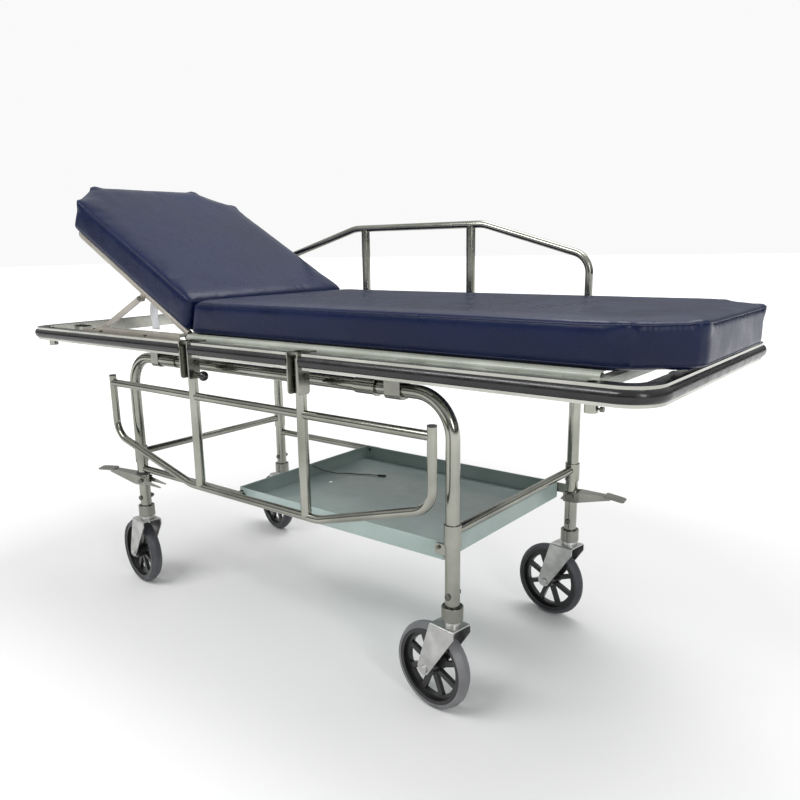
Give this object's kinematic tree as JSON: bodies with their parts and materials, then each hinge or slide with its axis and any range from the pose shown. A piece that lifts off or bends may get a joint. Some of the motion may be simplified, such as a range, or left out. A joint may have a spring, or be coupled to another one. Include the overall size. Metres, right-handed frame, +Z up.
{
  "type": "stretcher trolley",
  "caption": "Wheeled patient trolley with a tilting padded backrest, fold-down side rails, bumper ring and lower tray.",
  "frame": {"origin": "on the floor under the middle of the whole trolley as seen from above", "axes": "+X towards the foot end, +Y towards the far side, +Z up"},
  "size_m": [1.985, 0.74, 1.1942],
  "materials": {
    "polished_tube": "polished stainless tube",
    "steel_sheet": "satin stainless sheet",
    "bumper_steel": "polished stainless channel",
    "black_rubber": "satin extruded rubber",
    "painted_frame": "satin grey enamel",
    "fastener_steel": "satin plated",
    "black_plastic": "moulded, gloss",
    "navy_vinyl": "coated upholstery, soft sheen",
    "white_nylon": "moulded",
    "lanyard_cord": "twisted grey cord",
    "dark_toggle": "moulded",
    "zinc_fork": "bright zinc plate",
    "wheel_plastic": "moulded, satin",
    "grey_tyre": "solid grey rubber"
  },
  "bodies": {
    "root": {"backrest_rest_pads": "black_rubber", "bumper_strips": "black_rubber", "caster_sockets": "steel_sheet", "clamp_blocks": "steel_sheet", "clamp_sleeves": "polished_tube", "far_bumper": "bumper_steel", "far_side_frame": "polished_tube", "foot_bumper": "bumper_steel", "frame_screws": "fastener_steel", "head_bumper": "bumper_steel", "hinge_pins": "fastener_steel", "iv_sockets": "polished_tube", "lanyard_toggle": "dark_toggle", "latch_housings": "fastener_steel", "leg_bolts": "fastener_steel", "leg_sleeves": "polished_tube", "lower_legs": "polished_tube", "lower_tubes": "polished_tube", "near_bumper": "bumper_steel", "near_side_frame": "polished_tube", "pedal_collar": "black_rubber", "platform_deck": "painted_frame", "platform_frame": "painted_frame", "platform_plates": "painted_frame", "prop_tracks": "steel_sheet", "rail_brackets": "steel_sheet", "rail_pivot_pins": "fastener_steel", "seat_mattress": "navy_vinyl", "stem_bushes": "white_nylon", "tray": "steel_sheet", "tray_lanyard": "lanyard_cord", "tray_screws": "fastener_steel"},
    "backrest": {"backrest_frame": "painted_frame", "backrest_deck": "painted_frame", "backrest_mattress": "navy_vinyl", "prop_pins": "fastener_steel"},
    "near_prop": {"near_prop": "steel_sheet", "near_prop_roller": "black_plastic"},
    "far_prop": {"far_prop": "steel_sheet", "far_prop_roller": "black_plastic"},
    "near_rail": {"near_side_rail": "polished_tube", "near_rail_caps": "black_plastic"},
    "far_rail": {"far_side_rail": "polished_tube", "far_rail_caps": "black_plastic"},
    "near_latch": {"near_latch": "black_plastic"},
    "far_latch": {"far_latch": "black_plastic"},
    "head_pedal": {"head_brake_pedal": "steel_sheet"},
    "foot_pedal": {"foot_brake_pedal": "steel_sheet"},
    "caster_head_near": {"caster_fork_head_near": "zinc_fork"},
    "wheel_head_near": {"caster_hub_head_near": "wheel_plastic", "caster_tyre_head_near": "grey_tyre"},
    "caster_head_far": {"caster_fork_head_far": "zinc_fork"},
    "wheel_head_far": {"caster_hub_head_far": "wheel_plastic", "caster_tyre_head_far": "grey_tyre"},
    "caster_foot_near": {"caster_fork_foot_near": "zinc_fork"},
    "wheel_foot_near": {"caster_hub_foot_near": "wheel_plastic", "caster_tyre_foot_near": "grey_tyre"},
    "caster_foot_far": {"caster_fork_foot_far": "zinc_fork"},
    "wheel_foot_far": {"caster_hub_foot_far": "wheel_plastic", "caster_tyre_foot_far": "grey_tyre"}
  },
  "joints": [
    {"name": "backrest_tilt", "type": "hinge", "parent": "root", "child": "backrest", "pos_m": [-0.2775, 0, 0.7805], "axis": [0, 1, 0], "range_deg": [-28.9, 43.1]},
    {"name": "near_prop_swing", "type": "hinge", "parent": "backrest", "child": "near_prop", "pos_m": [-0.48051, -0.291, 0.87517], "axis": [0, 1, 0], "range_deg": [-86.3, 57.9]},
    {"name": "far_prop_swing", "type": "hinge", "parent": "backrest", "child": "far_prop", "pos_m": [-0.48051, 0.291, 0.87517], "axis": [0, 1, 0], "range_deg": [-86.3, 57.9]},
    {"name": "near_rail_fold", "type": "hinge", "parent": "root", "child": "near_rail", "pos_m": [-0.0095, -0.344, 0.728], "axis": [-1, 0, 0], "range_deg": [0, 180]},
    {"name": "far_rail_fold", "type": "hinge", "parent": "root", "child": "far_rail", "pos_m": [-0.0095, 0.344, 0.728], "axis": [-1, 0, 0], "range_deg": [0, 180]},
    {"name": "near_latch_pull", "type": "slide", "parent": "root", "child": "near_latch", "axis": [1, 0, 0], "range_m": [0, 0.008], "stiffness_N_per_m": 600, "springref_m": -0.004},
    {"name": "far_latch_pull", "type": "slide", "parent": "root", "child": "far_latch", "axis": [1, 0, 0], "range_m": [0, 0.008], "stiffness_N_per_m": 600, "springref_m": -0.004},
    {"name": "swivel_head_near", "type": "hinge", "parent": "root", "child": "caster_head_near", "pos_m": [-0.5615, -0.28, 0.222], "axis": [0, 0, 1], "continuous": true},
    {"name": "spin_head_near", "type": "hinge", "parent": "caster_head_near", "child": "wheel_head_near", "pos_m": [-0.61596, -0.27235, 0.1], "axis": [0.1392, 0.9903, 0], "continuous": true},
    {"name": "swivel_head_far", "type": "hinge", "parent": "root", "child": "caster_head_far", "pos_m": [-0.5615, 0.28, 0.222], "axis": [0, 0, 1], "continuous": true},
    {"name": "spin_head_far", "type": "hinge", "parent": "caster_head_far", "child": "wheel_head_far", "pos_m": [-0.61463, 0.29424, 0.1], "axis": [0.2588, 0.9659, 0], "continuous": true},
    {"name": "swivel_foot_near", "type": "hinge", "parent": "root", "child": "caster_foot_near", "pos_m": [0.5425, -0.28, 0.222], "axis": [0, 0, 1], "continuous": true},
    {"name": "spin_foot_near", "type": "hinge", "parent": "caster_foot_near", "child": "wheel_foot_near", "pos_m": [0.48797, -0.27282, 0.1], "axis": [0.1305, 0.9914, 0], "continuous": true},
    {"name": "swivel_foot_far", "type": "hinge", "parent": "root", "child": "caster_foot_far", "pos_m": [0.5425, 0.28, 0.222], "axis": [0, 0, 1], "continuous": true},
    {"name": "spin_foot_far", "type": "hinge", "parent": "caster_foot_far", "child": "wheel_foot_far", "pos_m": [0.48803, 0.28765, 0.1], "axis": [0.1392, 0.9903, 0], "continuous": true},
    {"name": "head_pedal_press", "type": "hinge", "parent": "root", "child": "head_pedal", "pos_m": [-0.5615, -0.28, 0.34], "axis": [0.4848, -0.8746, 0], "range_deg": [0, 18]},
    {"name": "foot_pedal_press", "type": "hinge", "parent": "root", "child": "foot_pedal", "pos_m": [0.5425, 0.28, 0.354], "axis": [-0.1392, 0.9903, 0], "range_deg": [0, 18]}
  ],
  "couplings": [
    {"joint": "near_prop_swing", "follows": "backrest_tilt", "ratio": -2},
    {"joint": "far_prop_swing", "follows": "backrest_tilt", "ratio": -2}
  ]
}
